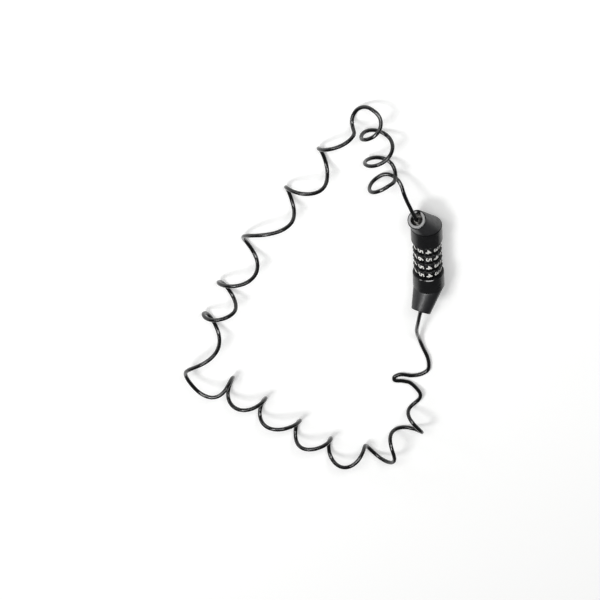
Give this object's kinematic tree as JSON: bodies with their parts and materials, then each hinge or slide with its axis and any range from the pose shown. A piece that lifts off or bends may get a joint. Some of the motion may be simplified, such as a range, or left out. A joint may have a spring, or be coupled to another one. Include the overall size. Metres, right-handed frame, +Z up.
{
  "type": "combination cable lock",
  "caption": "Curly-cable combination lock: a slim barrel of turning number dials between two angled, tapered end caps, with a long coiled cable that loops from cap to cap.",
  "frame": {"origin": "centre of the base of the lock barrel's box (cable left out), on the surface that the lock lies on", "axes": "+Z up; the barrel lies along Y, with its plug end towards -Y; the cable's loop lies on the +X side"},
  "size_m": [0.1999, 0.3587, 0.0277],
  "materials": {
    "dial_plastic": "satin moulded, white digits",
    "code_metal": "die-cast zinc",
    "steel_parts": "turned steel",
    "cap_plastic": "fine matte moulding",
    "ferrule_metal": "bright crimped metal",
    "cable_jacket": "glossy extruded jacket"
  },
  "bodies": {
    "lock_body": {"core_tube": "steel_parts", "click_spring": "steel_parts", "spacer_rings": "steel_parts", "spring_washer": "steel_parts", "upper_collar": "cap_plastic", "lower_collar": "cap_plastic", "collar_pins": "steel_parts", "lower_cap": "cap_plastic", "lower_ferrule": "ferrule_metal", "spiral_cable": "cable_jacket", "tail_cable": "cable_jacket"},
    "plug": {"upper_cap": "cap_plastic", "locking_pin": "steel_parts", "upper_ferrule": "ferrule_metal", "plug_cable": "cable_jacket"},
    "wheel_1": {"dial_1": "dial_plastic", "code_ring_1": "code_metal"},
    "wheel_2": {"dial_2": "dial_plastic", "code_ring_2": "code_metal"},
    "wheel_3": {"dial_3": "dial_plastic", "code_ring_3": "code_metal"},
    "wheel_4": {"dial_4": "dial_plastic", "code_ring_4": "code_metal"}
  },
  "joints": [
    {"name": "plug_slide", "type": "slide", "parent": "lock_body", "child": "plug", "axis": [0, -1, 0], "range_m": [0, 0.048], "deforming": ["plug_cable"]},
    {"name": "dial_1_spin", "type": "hinge", "parent": "lock_body", "child": "wheel_1", "pos_m": [-0.0019, 0, 0.0117], "axis": [0, -1, 0], "continuous": true},
    {"name": "dial_2_spin", "type": "hinge", "parent": "lock_body", "child": "wheel_2", "pos_m": [-0.0019, 0, 0.0117], "axis": [0, -1, 0], "continuous": true},
    {"name": "dial_3_spin", "type": "hinge", "parent": "lock_body", "child": "wheel_3", "pos_m": [-0.0019, 0, 0.0117], "axis": [0, -1, 0], "continuous": true},
    {"name": "dial_4_spin", "type": "hinge", "parent": "lock_body", "child": "wheel_4", "pos_m": [-0.0019, 0, 0.0117], "axis": [0, -1, 0], "continuous": true}
  ]
}
